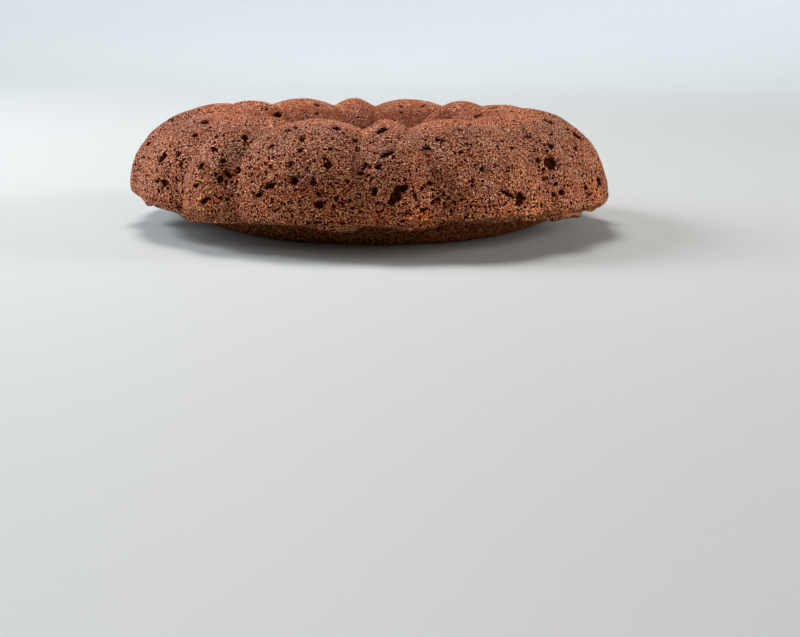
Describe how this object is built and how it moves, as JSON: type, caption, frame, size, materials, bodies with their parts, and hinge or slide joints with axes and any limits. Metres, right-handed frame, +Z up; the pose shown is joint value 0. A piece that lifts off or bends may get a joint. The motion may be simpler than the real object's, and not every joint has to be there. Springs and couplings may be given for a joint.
{
  "type": "bundt cake",
  "caption": "Whole chocolate ring cake with wide and narrow flutes in turn, a hole through the middle and a wavy lip above a domed underside.",
  "frame": {"origin": "middle of the outline, on the surface the cake rests on", "axes": "+Z up along the axis of the hole, -Y the front, which has a narrow flute just right of its middle, +X to the right seen from the front"},
  "size_m": [0.2362, 0.2362, 0.0564],
  "materials": {
    "crust": "matte, finely pored, reddish-brown baked chocolate crust"
  },
  "bodies": {
    "root": {"ring_cake": "crust"}
  },
  "joints": []
}
